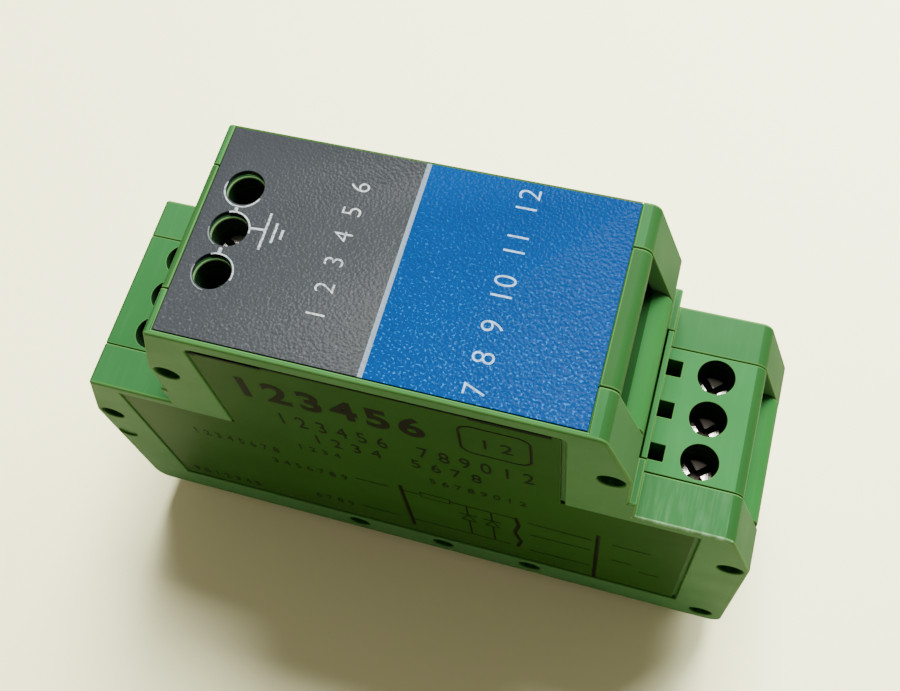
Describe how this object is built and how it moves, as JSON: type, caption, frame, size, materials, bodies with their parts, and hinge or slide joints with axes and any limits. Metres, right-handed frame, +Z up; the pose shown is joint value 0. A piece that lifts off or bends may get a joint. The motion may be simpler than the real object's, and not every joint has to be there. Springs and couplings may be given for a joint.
{
  "type": "zener barrier",
  "caption": "Rail-mounted zener barrier in a stepped green housing with screw terminals at both ends, a labelled top cover and a sprung rail latch.",
  "frame": {"origin": "middle of the housing, on the surface that the rail foot stands on", "axes": "+X along the housing towards the rail latch, +Y across it to the far cheek, +Z up to the label"},
  "size_m": [0.08, 0.0254, 0.0625],
  "materials": {
    "housing_plastic": "moulded satin green polyamide",
    "block_plastic": "moulded satin green polyamide",
    "label_film": "embossed printed film",
    "side_film": "printed satin film",
    "circuit_board": "green solder resist",
    "tinned_brass": "tin plated",
    "copper_bar": "bare stamped copper",
    "zinc_steel": "zinc plated",
    "diode_epoxy": "black epoxy",
    "resistor_lacquer": "lacquered",
    "fuse_ceramic": "glazed ceramic tube",
    "latch_plastic": "moulded black polyamide",
    "spring_steel": "bright drawn wire"
  },
  "bodies": {
    "housing": {"near_cheek": "housing_plastic", "far_cheek": "housing_plastic", "side_label": "side_film", "base_tray": "housing_plastic", "top_cover": "housing_plastic", "top_label": "label_film", "left_step_cover": "housing_plastic", "right_step_cover": "housing_plastic", "upper_terminal_block": "block_plastic", "left_terminal_block": "block_plastic", "right_terminal_block": "block_plastic", "blank_block": "block_plastic", "upper_board": "circuit_board", "lower_board": "circuit_board", "board_link_pins": "tinned_brass", "earth_link_bar": "copper_bar", "upper_screws": "zinc_steel", "left_screws": "zinc_steel", "right_screws": "zinc_steel", "upper_clamp_1": "zinc_steel", "upper_clamp_2": "zinc_steel", "upper_clamp_3": "zinc_steel", "left_clamp_1": "zinc_steel", "left_clamp_2": "zinc_steel", "left_clamp_3": "zinc_steel", "right_clamp_1": "zinc_steel", "right_clamp_2": "zinc_steel", "right_clamp_3": "zinc_steel", "upper_contact_1": "tinned_brass", "upper_contact_2": "tinned_brass", "upper_contact_3": "tinned_brass", "left_contact_1": "tinned_brass", "left_contact_2": "tinned_brass", "left_contact_3": "tinned_brass", "right_contact_1": "tinned_brass", "right_contact_2": "tinned_brass", "right_contact_3": "tinned_brass", "zener_diode_1": "diode_epoxy", "zener_diode_2": "diode_epoxy", "zener_diode_3": "diode_epoxy", "zener_diode_4": "diode_epoxy", "resistor_1": "resistor_lacquer", "resistor_2": "resistor_lacquer", "fuse_1": "fuse_ceramic", "fuse_2": "fuse_ceramic", "latch_spring": "spring_steel"},
    "latch": {"rail_latch": "latch_plastic"}
  },
  "joints": [
    {"name": "latch_slide", "type": "slide", "parent": "housing", "child": "latch", "axis": [1, 0, 0], "range_m": [0, 0.003], "stiffness_N_per_m": 1500, "springref_m": -0.002, "deforming": ["latch_spring"]}
  ]
}
